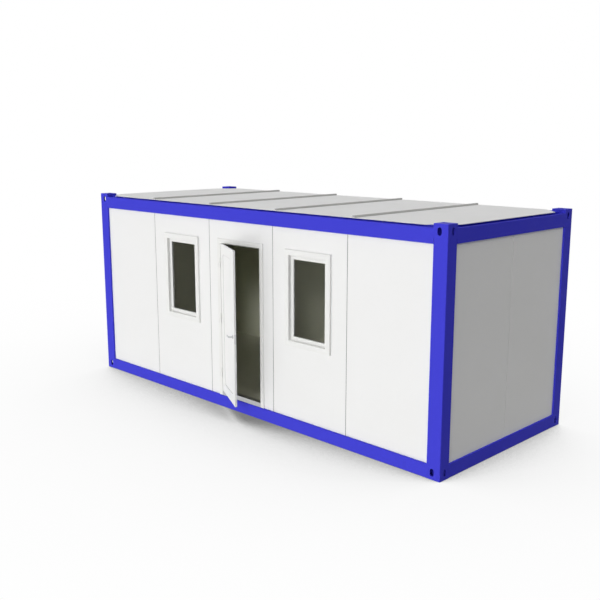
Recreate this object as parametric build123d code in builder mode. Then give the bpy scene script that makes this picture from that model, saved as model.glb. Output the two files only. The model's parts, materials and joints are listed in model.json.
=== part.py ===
from build123d import *
import os
from math import cos, radians, sin

os.makedirs("parts", exist_ok=True)

# Overall size, over the faces of the corner blocks
cabin_length = 6055.0
cabin_width = 2435.0
cabin_height = 2591.0

# Clearances that every piece shares
overrun = 10.0  # how far a cut runs past the faces that it opens
seat_gap = 0.3  # between a fixed piece and what it is let into

# Corner blocks, hollow boxes with a slot in each outer face
block_long = 171.0
block_cross = 155.0
block_plate = 10.0
slot_long = 80.0
slot_wide = 50.0
slot_inset_long = 101.0  # from the cabin's end to the slot's middle
slot_inset_cross = 88.0  # from the cabin's front to the slot's middle
slot_inset_up = 76.0  # from the block's outer level face to the slot's middle

# Folded sheet of the posts and rails
sheet = 4.0
bend = 6.0  # radius at the middle of the sheet
rail_lip_tall = 22.0
rail_width = 90.0
bottom_rail_tall = 150.0
top_rail_tall = 157.0
block_rise_high = 44.0  # how far the corner blocks stand over the top rails
gutter_lip_wide = 20.0
gutter_wide = 66.0
gutter_depth = 67.0

# Sandwich panels of the walls
panel_recess = 22.0  # from the frame's outer face to the panel's
panel_thick = 60.0
panel_module = 1160.0
panel_gap = 7.0
tongue_long = 14.0
tongue_thick = 14.0
tongue_gap = 1.0

# Floor, ceiling and roof
joist_tall = 100.0
joist_wide = 50.0
joist_wall = 3.0
joist_count = 9
underfloor_thick = 2.0
deck_thick = 20.0
ceiling_thick = 10.0
ceiling_lap_wide = 50.0
purlin_tall = 80.0
roof_sheet_thick = 4.0
roof_rise_high = 15.0  # from the top rails up to the roof sheets
roof_inset = 50.0  # from the frame's outer face to the roof sheet's edge
roof_corner_cut = 255.0
roof_sheet_count = 5
roof_sheet_gap = 2.0
seam_cap_wide = 34.0
seam_cap_tall = 22.0
seam_cap_inset = 6.0
seam_cap_round = 6.0

# Windows, one in a panel on each side of the door
window_along = 1152.0  # from the cabin's middle to the window's
window_wide = 712.0
window_tall = 1123.0
window_head_drop = 245.0  # from the top rails down to the window's head
window_bar = 66.0
window_cover = 24.0  # how far the casing laps over the panel
window_cut_gap = 2.0
casing_round = 3.0
sash_depth = 34.0  # from the casing's face to the sash
sash_thick = 36.0
sash_bar = 42.0
glass_thick = 20.0
glass_bite = 12.0

# Door frame, leaf and furniture
door_recess = 10.0  # from the cabin frame's outer face to the door frame's
doorway_wide = 716.0
door_head_drop = 283.0  # from the top rails down to the doorway's head
door_bar = 58.0
threshold_high = 207.0
stop_wide = 12.0
leaf_thick = 26.0
leaf_gap = 5.0
latch_gap = 8.0
door_open_angle = 28.0
field_inset = 115.0  # from the leaf's edges to the field pressed into its faces
field_depth = 7.0
field_round = 40.0
pin_standoff = 10.0  # from the door frame's face out to the hinge line
pin_radius = 5.0
barrel_radius = 8.5
knuckle_tall = 60.0
hinge_plate_wide = 42.0
hinge_plate_thick = 4.0
hinge_inset = 240.0
handle_high = 1066.0
handle_backset = 62.0
rose_radius = 24.0
rose_thick = 6.0
handle_radius = 9.0
handle_reach = 42.0
handle_arm = 108.0
lever_wide = 22.0
lever_thick = 9.0
turn_radius = 18.0
turn_thick = 6.0

# Heights and places that follow from the sizes above
block_tall = bottom_rail_tall
top_rail_high = cabin_height - block_rise_high
top_rail_low = top_rail_high - top_rail_tall
gutter_floor = top_rail_high - gutter_depth
roof_underside = top_rail_high + roof_rise_high
joist_pitch = (cabin_length - 2 * rail_width) / (joist_count + 1)
wall_low = bottom_rail_tall
wall_high = top_rail_low - seat_gap
panel_back = panel_recess + panel_thick
post_low = block_tall
post_high = cabin_height - block_tall
end_panel_edge = cabin_length / 2 - panel_back - panel_gap
side_panel_edge = cabin_width / 2 - panel_recess - panel_thick / 2
gutter_back = gutter_lip_wide + gutter_wide
window_low = top_rail_low - window_head_drop - window_tall
doorway_high = top_rail_low - door_head_drop
door_wide = doorway_wide + 2 * door_bar
door_high = doorway_high + door_bar
stop_depth = door_recess + leaf_thick + leaf_gap
leaf_wide = doorway_wide - leaf_gap - latch_gap
leaf_low = threshold_high + leaf_gap
leaf_tall = doorway_high - leaf_gap - leaf_low

# Each side of the cabin has a plane: x runs along the wall, y inwards from the frame's face, z up
front_side = Plane(origin=(0, -cabin_width / 2, 0), x_dir=(1, 0, 0), z_dir=(0, 0, 1))
back_side = Plane(origin=(0, cabin_width / 2, 0), x_dir=(-1, 0, 0), z_dir=(0, 0, 1))
left_side = Plane(origin=(-cabin_length / 2, 0, 0), x_dir=(0, -1, 0), z_dir=(0, 0, 1))
right_side = Plane(origin=(cabin_length / 2, 0, 0), x_dir=(0, 1, 0), z_dir=(0, 0, 1))
sides = {"front": front_side, "back": back_side, "left": left_side, "right": right_side}
rail_run = {
    "front": cabin_length - 2 * block_long,
    "back": cabin_length - 2 * block_long,
    "left": cabin_width - 2 * block_cross,
    "right": cabin_width - 2 * block_cross,
}

# The leaf has such a plane of its own, with its origin on the hinge line and turned as the door stands
pin_along = -doorway_wide / 2 + leaf_gap / 2
swing = radians(door_open_angle)
hinge_side = Plane(
    origin=(pin_along, -cabin_width / 2 + door_recess - pin_standoff, 0),
    x_dir=(1, 0, 0),
    z_dir=(0, 0, 1),
)
leaf_side = Plane(origin=hinge_side.origin, x_dir=(cos(swing), -sin(swing), 0), z_dir=(0, 0, 1))


def keep(part, node):
    part.label = node
    export_step(part, f"parts/{node}.step")


def upright(side, along, depth, height):
    # a plane that faces out of a side, with x along the wall and y up
    return Plane(
        origin=side.from_local_coords((along, depth, height)), x_dir=side.x_dir, z_dir=-side.y_dir
    )


def folded_rail(side, run, points):
    # one sheet, folded along the points (inwards, up) and run along the side
    cross = Plane(
        origin=side.from_local_coords((-run / 2, 0, 0)), x_dir=side.y_dir, z_dir=side.x_dir
    )
    with BuildPart() as beam:
        with BuildSketch(cross):
            with BuildLine():
                FilletPolyline(*points, radius=bend)
            trace(line_width=sheet)
        extrude(amount=run)
    return beam.part


def wall_panel(side, start, end, low, high, groove=False, tongue=False, window=None):
    # a sandwich panel; a jointed edge stops half a gap short of its module line
    left = start + (panel_gap / 2 if groove else 0)
    right = end - (panel_gap / 2 if tongue else 0)
    with BuildPart() as slab:
        with BuildSketch(side.offset(low)):
            with Locations(((left + right) / 2, panel_recess + panel_thick / 2)):
                Rectangle(right - left, panel_thick)
            if tongue:
                with Locations((right + tongue_long / 2, panel_recess + panel_thick / 2)):
                    Rectangle(tongue_long, tongue_thick)
            if groove:
                with Locations((left, panel_recess + panel_thick / 2)):
                    Rectangle(2 * tongue_long, tongue_thick + 2 * tongue_gap, mode=Mode.SUBTRACT)
        extrude(amount=high - low)
        if window:
            middle = window_low + window_tall / 2
            with BuildSketch(upright(side, window, 0, middle)):
                Rectangle(window_wide - 2 * window_cover, window_tall - 2 * window_cover)
            extrude(amount=-(panel_back + overrun), mode=Mode.SUBTRACT)
    return slab.part


# Corner posts: one sheet folded round the corner, with a lip back to the wall panel on each side
def corner_post(end, face):
    lip_along = block_long - sheet / 2
    lip_across = block_cross - sheet / 2
    folds = [
        (lip_along, panel_recess),
        (lip_along, sheet / 2),
        (sheet / 2, sheet / 2),
        (sheet / 2, lip_across),
        (panel_recess, lip_across),
    ]
    points = [(end * (cabin_length / 2 - a), face * (cabin_width / 2 - b)) for a, b in folds]
    with BuildPart() as post:
        with BuildSketch(Plane.XY.offset(post_low)):
            with BuildLine():
                FilletPolyline(*points, radius=bend)
            trace(line_width=sheet)
        extrude(amount=post_high - post_low)
    return post.part


keep(corner_post(-1, -1), "corner_post_front_left")
keep(corner_post(1, -1), "corner_post_front_right")
keep(corner_post(-1, 1), "corner_post_back_left")
keep(corner_post(1, 1), "corner_post_back_right")


# Corner blocks: the rails butt against the inner two sides, and the outer faces have the slots
def corner_block(low, slot_height, level_face):
    slot_x = cabin_length / 2 - slot_inset_long
    slot_y = cabin_width / 2 - slot_inset_cross
    with BuildPart() as block:
        with BuildSketch(Plane.XY.offset(low)):
            with Locations((cabin_length / 2, cabin_width / 2)):
                Rectangle(block_long, block_cross, align=(Align.MAX, Align.MAX))
        extrude(amount=block_tall)
        outer_edge = block.faces().sort_by(Axis.X)[-1].edges().filter_by(Axis.Z).sort_by(Axis.Y)[-1]
        fillet(outer_edge, bend + sheet / 2)
        with BuildSketch(Plane.XY.offset(low + block_plate)):
            with Locations((cabin_length / 2 - block_plate, cabin_width / 2 - block_plate)):
                Rectangle(
                    block_long - 2 * block_plate,
                    block_cross - 2 * block_plate,
                    align=(Align.MAX, Align.MAX),
                )
        extrude(amount=block_tall - 2 * block_plate, mode=Mode.SUBTRACT)
        with BuildSketch(Plane((slot_x, cabin_width / 2, slot_height), (1, 0, 0), (0, 1, 0))):
            SlotOverall(slot_long, slot_wide, rotation=90)
        extrude(amount=-(block_plate + overrun), mode=Mode.SUBTRACT)
        with BuildSketch(Plane((cabin_length / 2, slot_y, slot_height), (0, 1, 0), (1, 0, 0))):
            SlotOverall(slot_long, slot_wide, rotation=90)
        extrude(amount=-(block_plate + overrun), mode=Mode.SUBTRACT)
        with BuildSketch(Plane.XY.offset(level_face)):
            with Locations((slot_x, slot_y)):
                SlotOverall(slot_long, slot_wide)
        extrude(amount=block_plate, both=True, mode=Mode.SUBTRACT)
    return block.part


with BuildPart() as bottom_corner_blocks:
    add(corner_block(0, slot_inset_up, 0))
    mirror(about=Plane.YZ)
    mirror(about=Plane.XZ)
keep(bottom_corner_blocks.part, "bottom_corner_blocks")

# The top blocks carry a plate that closes the gutter's corner under the cut of the roof sheet
with BuildPart() as top_corner_blocks:
    add(corner_block(post_high, cabin_height - slot_inset_up, cabin_height))
    reach = 2 * roof_inset + roof_corner_cut - gutter_back - seat_gap
    near = gutter_back + seat_gap
    corner_outline = [
        (block_long - block_plate, near),
        (reach, near),
        (near, reach),
        (near, block_cross - block_plate),
        (block_long - block_plate, block_cross - block_plate),
    ]
    with BuildSketch(Plane.XY.offset(top_rail_high - 2 * sheet)):
        with BuildLine():
            Polyline(
                *[(cabin_length / 2 - a, cabin_width / 2 - b) for a, b in corner_outline], close=True
            )
        make_face()
    extrude(amount=sheet)
    mirror(about=Plane.YZ)
    mirror(about=Plane.XZ)
keep(top_corner_blocks.part, "top_corner_blocks")

# Bottom rails: lipped channels that open inwards
bottom_rail_folds = [
    (rail_width - sheet / 2, rail_lip_tall),
    (rail_width - sheet / 2, sheet / 2),
    (sheet / 2, sheet / 2),
    (sheet / 2, bottom_rail_tall - sheet / 2),
    (rail_width - sheet / 2, bottom_rail_tall - sheet / 2),
    (rail_width - sheet / 2, bottom_rail_tall - rail_lip_tall),
]
for name, side in sides.items():
    keep(folded_rail(side, rail_run[name], bottom_rail_folds), f"bottom_rail_{name}")

# Top rails: a ledge over the wall panels, the outer face, then a gutter whose back carries the roof
top_rail_folds = [
    (rail_width, top_rail_low + sheet / 2),
    (sheet / 2, top_rail_low + sheet / 2),
    (sheet / 2, top_rail_high - sheet / 2),
    (gutter_lip_wide - sheet / 2, top_rail_high - sheet / 2),
    (gutter_lip_wide - sheet / 2, gutter_floor + sheet / 2),
    (gutter_back - sheet / 2, gutter_floor + sheet / 2),
    (gutter_back - sheet / 2, roof_underside),
]
for name, side in sides.items():
    keep(folded_rail(side, rail_run[name], top_rail_folds), f"top_rail_{name}")


# Channels across the cabin, which carry the floor and the roof
def cross_members(high, tall, pitch, run):
    with BuildPart() as members:
        with BuildSketch(Plane.XZ):
            with Locations((0, high - tall / 2)):
                with GridLocations(pitch, 0, joist_count, 1):
                    Rectangle(joist_wide, tall)
            with Locations((joist_wall, high - tall / 2)):
                with GridLocations(pitch, 0, joist_count, 1):
                    Rectangle(joist_wide, tall - 2 * joist_wall, mode=Mode.SUBTRACT)
        extrude(amount=run / 2, both=True)
    return members.part


roof_wide = cabin_width - 2 * roof_inset
roof_long = cabin_length - 2 * roof_inset
roof_pitch = roof_long / roof_sheet_count
keep(cross_members(wall_low, joist_tall, joist_pitch, cabin_width - 2 * rail_width), "floor_joists")
keep(
    cross_members(roof_underside, purlin_tall, roof_pitch / 2, cabin_width - 2 * gutter_back),
    "roof_purlins",
)

with BuildPart() as underfloor_sheet:
    with BuildSketch(Plane.XY.offset(wall_low - joist_tall - underfloor_thick)):
        Rectangle(cabin_length - 2 * rail_width, cabin_width - 2 * rail_width)
        with GridLocations(cabin_length, cabin_width, 2, 2):
            Rectangle(
                2 * (block_long + seat_gap), 2 * (block_cross + seat_gap), mode=Mode.SUBTRACT
            )
    extrude(amount=underfloor_thick)
keep(underfloor_sheet.part, "underfloor_sheet")

with BuildPart() as floor_deck:
    with BuildSketch(Plane.XY.offset(wall_low)):
        Rectangle(cabin_length - 2 * (panel_back + seat_gap), cabin_width - 2 * (panel_back + seat_gap))
    extrude(amount=deck_thick)
keep(floor_deck.part, "floor_deck")

with BuildPart() as ceiling_lining:
    ceiling_inset = rail_width - ceiling_lap_wide
    with BuildSketch(Plane.XY.offset(top_rail_low + sheet)):
        Rectangle(cabin_length - 2 * ceiling_inset, cabin_width - 2 * ceiling_inset)
    extrude(amount=ceiling_thick)
keep(ceiling_lining.part, "ceiling_lining")

# Roof: sheets laid across the cabin, cut off at the corner blocks, with a cap over each seam
with BuildPart() as roof_sheets:
    with BuildSketch(Plane.XY.offset(roof_underside)) as roof_plan:
        with GridLocations(roof_pitch, 0, roof_sheet_count, 1):
            Rectangle(roof_pitch - roof_sheet_gap, roof_wide)
        corners = roof_plan.vertices().group_by(Axis.X)
        chamfer(corners[0] + corners[-1], roof_corner_cut)
    extrude(amount=roof_sheet_thick)
keep(roof_sheets.part, "roof_sheets")

with BuildPart() as roof_seam_caps:
    with BuildSketch(Plane.XZ) as cap_profile:
        with Locations((0, roof_underside + roof_sheet_thick + seam_cap_tall / 2)):
            with GridLocations(roof_pitch, 0, roof_sheet_count - 1, 1):
                Rectangle(seam_cap_wide, seam_cap_tall)
        fillet(cap_profile.vertices().group_by(Axis.Y)[-1], seam_cap_round)
    extrude(amount=roof_wide / 2 - seam_cap_inset, both=True)
keep(roof_seam_caps.part, "roof_seam_caps")

# Front wall: the joints lie half a module and one and a half modules from the middle
inner_joint = panel_module / 2
outer_joint = inner_joint + panel_module
jamb = door_wide / 2 + seat_gap
front_panels = {
    "front_panel_left": (-end_panel_edge, -outer_joint, wall_low, wall_high, False, True),
    "front_panel_window_left": (
        -outer_joint, -inner_joint, wall_low, wall_high, True, True, -window_along
    ),
    "front_panel_door_left": (-inner_joint, -jamb, wall_low, wall_high, True, False),
    "front_panel_door_over": (-jamb, jamb, door_high + seat_gap, wall_high, False, False),
    "front_panel_door_right": (jamb, inner_joint, wall_low, wall_high, False, True),
    "front_panel_window_right": (
        inner_joint, outer_joint, wall_low, wall_high, True, True, window_along
    ),
    "front_panel_right": (outer_joint, end_panel_edge, wall_low, wall_high, True, False),
}
for name, shape in front_panels.items():
    keep(wall_panel(front_side, *shape), name)


# The other walls are plain, one node each
def plain_wall(side, edges):
    with BuildPart() as wall:
        for start, end in zip(edges, edges[1:]):
            first = start == edges[0]
            last = end == edges[-1]
            add(wall_panel(side, start, end, wall_low, wall_high, not first, not last))
    return wall.part


back_edges = [-end_panel_edge, -outer_joint, -inner_joint, inner_joint, outer_joint, end_panel_edge]
keep(plain_wall(back_side, back_edges), "back_wall_panels")
keep(plain_wall(left_side, [-side_panel_edge, 0, side_panel_edge]), "left_wall_panels")
keep(plain_wall(right_side, [-side_panel_edge, 0, side_panel_edge]), "right_wall_panels")


# Windows: the casing laps over the panel, and the sash sits back in it and holds the glass in a groove
def window(along, name):
    middle = window_low + window_tall / 2
    clear_wide = window_wide - 2 * window_bar
    clear_tall = window_tall - 2 * window_bar
    body_wide = window_wide - 2 * window_cover - window_cut_gap
    body_tall = window_tall - 2 * window_cover - window_cut_gap
    with BuildPart() as casing:
        with BuildSketch(upright(front_side, along, 0, middle)):
            RectangleRounded(window_wide, window_tall, casing_round)
            Rectangle(clear_wide, clear_tall, mode=Mode.SUBTRACT)
        extrude(amount=-panel_recess)
        with BuildSketch(upright(front_side, along, panel_recess, middle)):
            Rectangle(body_wide, body_tall)
            Rectangle(clear_wide, clear_tall, mode=Mode.SUBTRACT)
        extrude(amount=-panel_thick)
    keep(casing.part, f"{name}_frame")

    sash_wide = clear_wide - 2 * seat_gap
    sash_tall = clear_tall - 2 * seat_gap
    glass_wide = sash_wide - 2 * sash_bar
    glass_tall = sash_tall - 2 * sash_bar
    with BuildPart() as sash:
        with BuildSketch(upright(front_side, along, sash_depth, middle)):
            Rectangle(sash_wide, sash_tall)
            Rectangle(glass_wide, glass_tall, mode=Mode.SUBTRACT)
        extrude(amount=-sash_thick)
        with BuildSketch(upright(front_side, along, sash_depth + sash_thick / 2, middle)):
            Rectangle(glass_wide + 2 * glass_bite, glass_tall + 2 * glass_bite)
        extrude(amount=glass_thick / 2, both=True, mode=Mode.SUBTRACT)
    keep(sash.part, f"{name}_sash")

    with BuildPart() as pane:
        with BuildSketch(upright(front_side, along, sash_depth + sash_thick / 2, middle)):
            Rectangle(
                glass_wide + 2 * (glass_bite - seat_gap), glass_tall + 2 * (glass_bite - seat_gap)
            )
        extrude(amount=glass_thick / 2 - seat_gap, both=True)
    keep(pane.part, f"{name}_glass")


window(-window_along, "window_left")
window(window_along, "window_right")

# Door frame: two jambs and a head, with a stop behind the leaf, over a threshold
with BuildPart() as door_frame:
    with BuildSketch(upright(front_side, 0, door_recess, wall_low)):
        with Locations((0, (door_high - wall_low) / 2)):
            Rectangle(door_wide, door_high - wall_low)
        with Locations((0, (doorway_high - wall_low) / 2)):
            Rectangle(doorway_wide, doorway_high - wall_low, mode=Mode.SUBTRACT)
    extrude(amount=-(panel_back - door_recess))
    with BuildSketch(upright(front_side, 0, stop_depth, wall_low)):
        with Locations((0, (doorway_high - wall_low) / 2)):
            Rectangle(doorway_wide, doorway_high - wall_low)
        with Locations((0, (doorway_high - stop_wide - wall_low) / 2)):
            Rectangle(
                doorway_wide - 2 * stop_wide, doorway_high - stop_wide - wall_low, mode=Mode.SUBTRACT
            )
    extrude(amount=-(panel_back - stop_depth))
keep(door_frame.part, "door_frame")

with BuildPart() as door_threshold:
    with BuildSketch(front_side.offset(wall_low)):
        with Locations((0, (door_recess + stop_depth) / 2)):
            Rectangle(doorway_wide - 2 * seat_gap, stop_depth - door_recess)
        with Locations((0, (stop_depth + panel_back) / 2)):
            Rectangle(doorway_wide - 2 * (stop_wide + seat_gap), panel_back - stop_depth)
    extrude(amount=threshold_high - wall_low)
keep(door_threshold.part, "door_threshold")

# Lift-off hinges: the frame's knuckle carries the pin, and the leaf's knuckle sits over it
hinge_heights = [
    leaf_low + hinge_inset,
    leaf_low + leaf_tall / 2,
    leaf_low + leaf_tall - hinge_inset,
]
with BuildPart() as frame_hinges:
    for height in hinge_heights:
        with BuildSketch(hinge_side.offset(height - knuckle_tall)):
            Circle(barrel_radius)
            with Locations((-leaf_gap / 2, pin_standoff)):
                Rectangle(hinge_plate_wide, hinge_plate_thick, align=(Align.MAX, Align.MAX))
        extrude(amount=knuckle_tall)
        with BuildSketch(hinge_side.offset(height)):
            Circle(pin_radius)
        extrude(amount=knuckle_tall)
keep(frame_hinges.part, "frame_hinges")

with BuildPart() as leaf_hinges:
    for height in hinge_heights:
        with BuildSketch(leaf_side.offset(height + seat_gap)):
            Circle(barrel_radius)
            with Locations((leaf_gap / 2, pin_standoff)):
                Rectangle(hinge_plate_wide, hinge_plate_thick, align=(Align.MIN, Align.MAX))
            Circle(pin_radius + seat_gap, mode=Mode.SUBTRACT)
        extrude(amount=knuckle_tall)
keep(leaf_hinges.part, "leaf_hinges")

# Door leaf: a field is pressed into both faces, and the handle's spindle passes through the border
leaf_start = leaf_gap / 2
leaf_middle = leaf_start + leaf_wide / 2
leaf_back = pin_standoff + leaf_thick
spindle_along = leaf_start + leaf_wide - handle_backset
with BuildPart() as door_leaf:
    with BuildSketch(leaf_side.offset(leaf_low)):
        with Locations((leaf_start, pin_standoff)):
            Rectangle(leaf_wide, leaf_thick, align=(Align.MIN, Align.MIN))
    extrude(amount=leaf_tall)
    for depth, inwards in ((pin_standoff, -1), (leaf_back, 1)):
        with BuildSketch(upright(leaf_side, leaf_middle, depth, leaf_low + leaf_tall / 2)):
            RectangleRounded(leaf_wide - 2 * field_inset, leaf_tall - 2 * field_inset, field_round)
        extrude(amount=inwards * field_depth, mode=Mode.SUBTRACT)
    with BuildSketch(upright(leaf_side, spindle_along, pin_standoff, handle_high)):
        Circle(handle_radius + seat_gap)
    extrude(amount=-leaf_thick, mode=Mode.SUBTRACT)
keep(door_leaf.part, "door_leaf")

# Handle: a rose on the outer face, and a spindle with a lever outside and a low turn inside
with BuildPart() as handle_rose:
    with BuildSketch(upright(leaf_side, spindle_along, pin_standoff, handle_high)):
        Circle(rose_radius)
        Circle(handle_radius + seat_gap, mode=Mode.SUBTRACT)
    extrude(amount=rose_thick)
keep(handle_rose.part, "handle_rose")

with BuildPart() as door_handle:
    lever_depth = pin_standoff - rose_thick - handle_reach
    turn_depth = leaf_back + leaf_gap
    with BuildSketch(upright(leaf_side, spindle_along, turn_depth, handle_high)):
        Circle(handle_radius)
    extrude(amount=turn_depth - lever_depth)
    with BuildSketch(upright(leaf_side, spindle_along, turn_depth, handle_high)):
        Circle(turn_radius)
    extrude(amount=-turn_thick)
    with BuildSketch(upright(leaf_side, spindle_along, lever_depth, handle_high)):
        with Locations(((lever_wide - handle_arm) / 2, 0)):
            SlotOverall(handle_arm, lever_wide)
    extrude(amount=lever_thick)
keep(door_handle.part, "door_handle")
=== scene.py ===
import bpy
import json
import numpy as np
from math import cos, pi, radians, sin
from mathutils import Euler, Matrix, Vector


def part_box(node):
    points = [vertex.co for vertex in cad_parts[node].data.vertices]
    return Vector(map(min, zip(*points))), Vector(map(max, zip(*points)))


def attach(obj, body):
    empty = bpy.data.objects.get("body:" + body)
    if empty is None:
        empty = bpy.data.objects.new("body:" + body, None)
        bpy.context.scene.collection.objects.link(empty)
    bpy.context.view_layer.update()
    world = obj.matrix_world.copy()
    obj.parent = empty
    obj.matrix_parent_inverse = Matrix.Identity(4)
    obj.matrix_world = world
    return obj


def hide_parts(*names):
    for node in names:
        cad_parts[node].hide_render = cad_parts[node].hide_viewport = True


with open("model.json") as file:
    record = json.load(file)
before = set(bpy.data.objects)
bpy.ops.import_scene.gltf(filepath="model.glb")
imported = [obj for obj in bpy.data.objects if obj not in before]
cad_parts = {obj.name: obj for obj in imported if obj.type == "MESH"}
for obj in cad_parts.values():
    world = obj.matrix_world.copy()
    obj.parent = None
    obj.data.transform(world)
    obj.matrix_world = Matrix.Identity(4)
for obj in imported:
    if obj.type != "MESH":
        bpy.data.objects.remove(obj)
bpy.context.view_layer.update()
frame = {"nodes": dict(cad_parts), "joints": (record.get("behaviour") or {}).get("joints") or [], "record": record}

nodes = frame["nodes"]
print("cabin frame loaded:", len(nodes), "nodes")

mmPerMetre = 1000.0
mixA, mixB, mixOut = 6, 7, 2  # a Mix node's colour sockets, by number, as other sockets share their names
noiseSpan = {"From Min": 0.3, "From Max": 0.7}  # where most of a noise texture's values lie


# small helpers for colours and nodes
def fromHex(code):  # sRGB hex to a linear colour, by the curve that sRGB is defined with
    value = np.array([int(code[at:at + 2], 16) for at in (1, 3, 5)]) / 255
    linear = np.where(value <= 0.04045, value / 12.92, ((value + 0.055) / 1.055) ** 2.4)
    return (*linear.tolist(), 1.0)


def perMetre(sizeMm):  # pattern scale that gives features of this size
    return mmPerMetre / sizeMm


def metres(sizeMm):
    return sizeMm / mmPerMetre


def addNode(mat, kind, inputs=None, **settings):  # an input is a value, or an output socket to link
    node = mat.node_tree.nodes.new(kind)
    for key, value in settings.items():
        setattr(node, key, value)
    for key, value in (inputs or {}).items():
        if isinstance(value, bpy.types.NodeSocket):
            mat.node_tree.links.new(value, node.inputs[key])
        else:
            node.inputs[key].default_value = value
    return node


def startFinish(name):  # empty material with its Object coordinates
    mat = bpy.data.materials.new(name)
    mat.use_nodes = True
    mat.node_tree.nodes.clear()
    return mat, addNode(mat, "ShaderNodeTexCoord").outputs["Object"]


def endFinish(mat, inputs):  # principled shader and the material's output
    shader = addNode(mat, "ShaderNodeBsdfPrincipled", inputs)
    addNode(mat, "ShaderNodeOutputMaterial", {"Surface": shader.outputs[0]})
    return mat


# paint and coil coating on sheet steel: even colour, slow drift of tone, patchy gloss, fine orange peel
def coatedSteel(name, spec):
    mat, place = startFinish(name)
    drift = addNode(mat, "ShaderNodeTexNoise", {
        "Vector": place, "Scale": perMetre(spec["driftMm"]), "Detail": 3.0})
    tone = addNode(mat, "ShaderNodeMix", {
        "Factor": drift.outputs["Fac"], mixA: fromHex(spec["colour"]), mixB: fromHex(spec["drift"])},
        data_type="RGBA")
    gloss = addNode(mat, "ShaderNodeTexNoise", {
        "Vector": place, "Scale": perMetre(spec["glossMm"]), "Detail": 4.0})
    rough = addNode(mat, "ShaderNodeMapRange", {
        "Value": gloss.outputs["Fac"], **noiseSpan, "To Min": spec["roughLow"], "To Max": spec["roughHigh"]})
    peel = addNode(mat, "ShaderNodeTexNoise", {
        "Vector": place, "Scale": perMetre(spec["peelMm"]), "Detail": 2.0})
    bump = addNode(mat, "ShaderNodeBump", {
        "Height": peel.outputs["Fac"], "Strength": 0.35, "Distance": metres(spec["peelDepthMm"])})
    return endFinish(mat, {
        "Base Color": tone.outputs[mixOut], "Roughness": rough.outputs[0], "Normal": bump.outputs[0],
        "IOR": spec["ior"]})


# sprayed enamel on the frame: strong blue, satin, with a weak shine
frameEnamel = {
    "colour": "#4545d7", "drift": "#4040d0", "driftMm": 800.0, "roughLow": 0.38, "roughHigh": 0.5,
    "glossMm": 140.0, "peelMm": 4.0, "peelDepthMm": 0.03, "ior": 1.1}
# coil-coated roof sheets: pale and nearly matt
roofCoating = {
    "colour": "#f2f2f2", "drift": "#ededec", "driftMm": 500.0, "roughLow": 0.5, "roughHigh": 0.64,
    "glossMm": 240.0, "peelMm": 5.0, "peelDepthMm": 0.03, "ior": 1.4}
# folded seam caps: the roof's kind of coating in a darker grey, partly the caps' own grey and partly painted shade
# for their shaded sides
capCoating = {
    "colour": "#c3c3c1", "drift": "#bbbbb8", "driftMm": 300.0, "roughLow": 0.5, "roughHigh": 0.64,
    "glossMm": 120.0, "peelMm": 4.0, "peelDepthMm": 0.03, "ior": 1.4}
# coil-coated ceiling sheet: creamy and dull
ceilingCoating = {
    "colour": "#f4f5ec", "drift": "#f0f1e7", "driftMm": 900.0, "roughLow": 0.5, "roughHigh": 0.6,
    "glossMm": 200.0, "peelMm": 5.0, "peelDepthMm": 0.02, "ior": 1.45}
# powder coat on the door frame: even white with a soft shine
doorFrameCoating = {
    "colour": "#eeeeec", "drift": "#eaeae7", "driftMm": 500.0, "roughLow": 0.36, "roughHigh": 0.46,
    "glossMm": 90.0, "peelMm": 4.0, "peelDepthMm": 0.03, "ior": 1.12}
# paint on the pressed leaf: smooth clean white
leafCoating = {
    "colour": "#f4f4f3", "drift": "#f0f0ee", "driftMm": 600.0, "roughLow": 0.36, "roughHigh": 0.48,
    "glossMm": 110.0, "peelMm": 4.0, "peelDepthMm": 0.03, "ior": 1.15}
# brush paint on the hinges: white, with uneven gloss
hingeCoating = {
    "colour": "#eaeae8", "drift": "#e3e3e0", "driftMm": 60.0, "roughLow": 0.4, "roughHigh": 0.52,
    "glossMm": 30.0, "peelMm": 2.5, "peelDepthMm": 0.04, "ior": 1.45}

# white coil-coated sandwich panel: the faint waves of rolled sheet, and a cream lining on the inner face
panelSkin = {
    "colour": "#f2f2f2", "drift": "#eeeeec", "driftMm": 900.0,
    "lining": "#f3f4e0", "liningDrift": "#eff0da",
    "insideX": 2.96, "insideY": 1.15,  # faces nearer the middle than this carry the lining
    "waveMm": 420.0, "waveDepthMm": 0.5, "peelMm": 5.0, "peelDepthMm": 0.02,
    "roughLow": 0.42, "roughHigh": 0.54, "glossMm": 160.0, "ior": 1.45}


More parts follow.
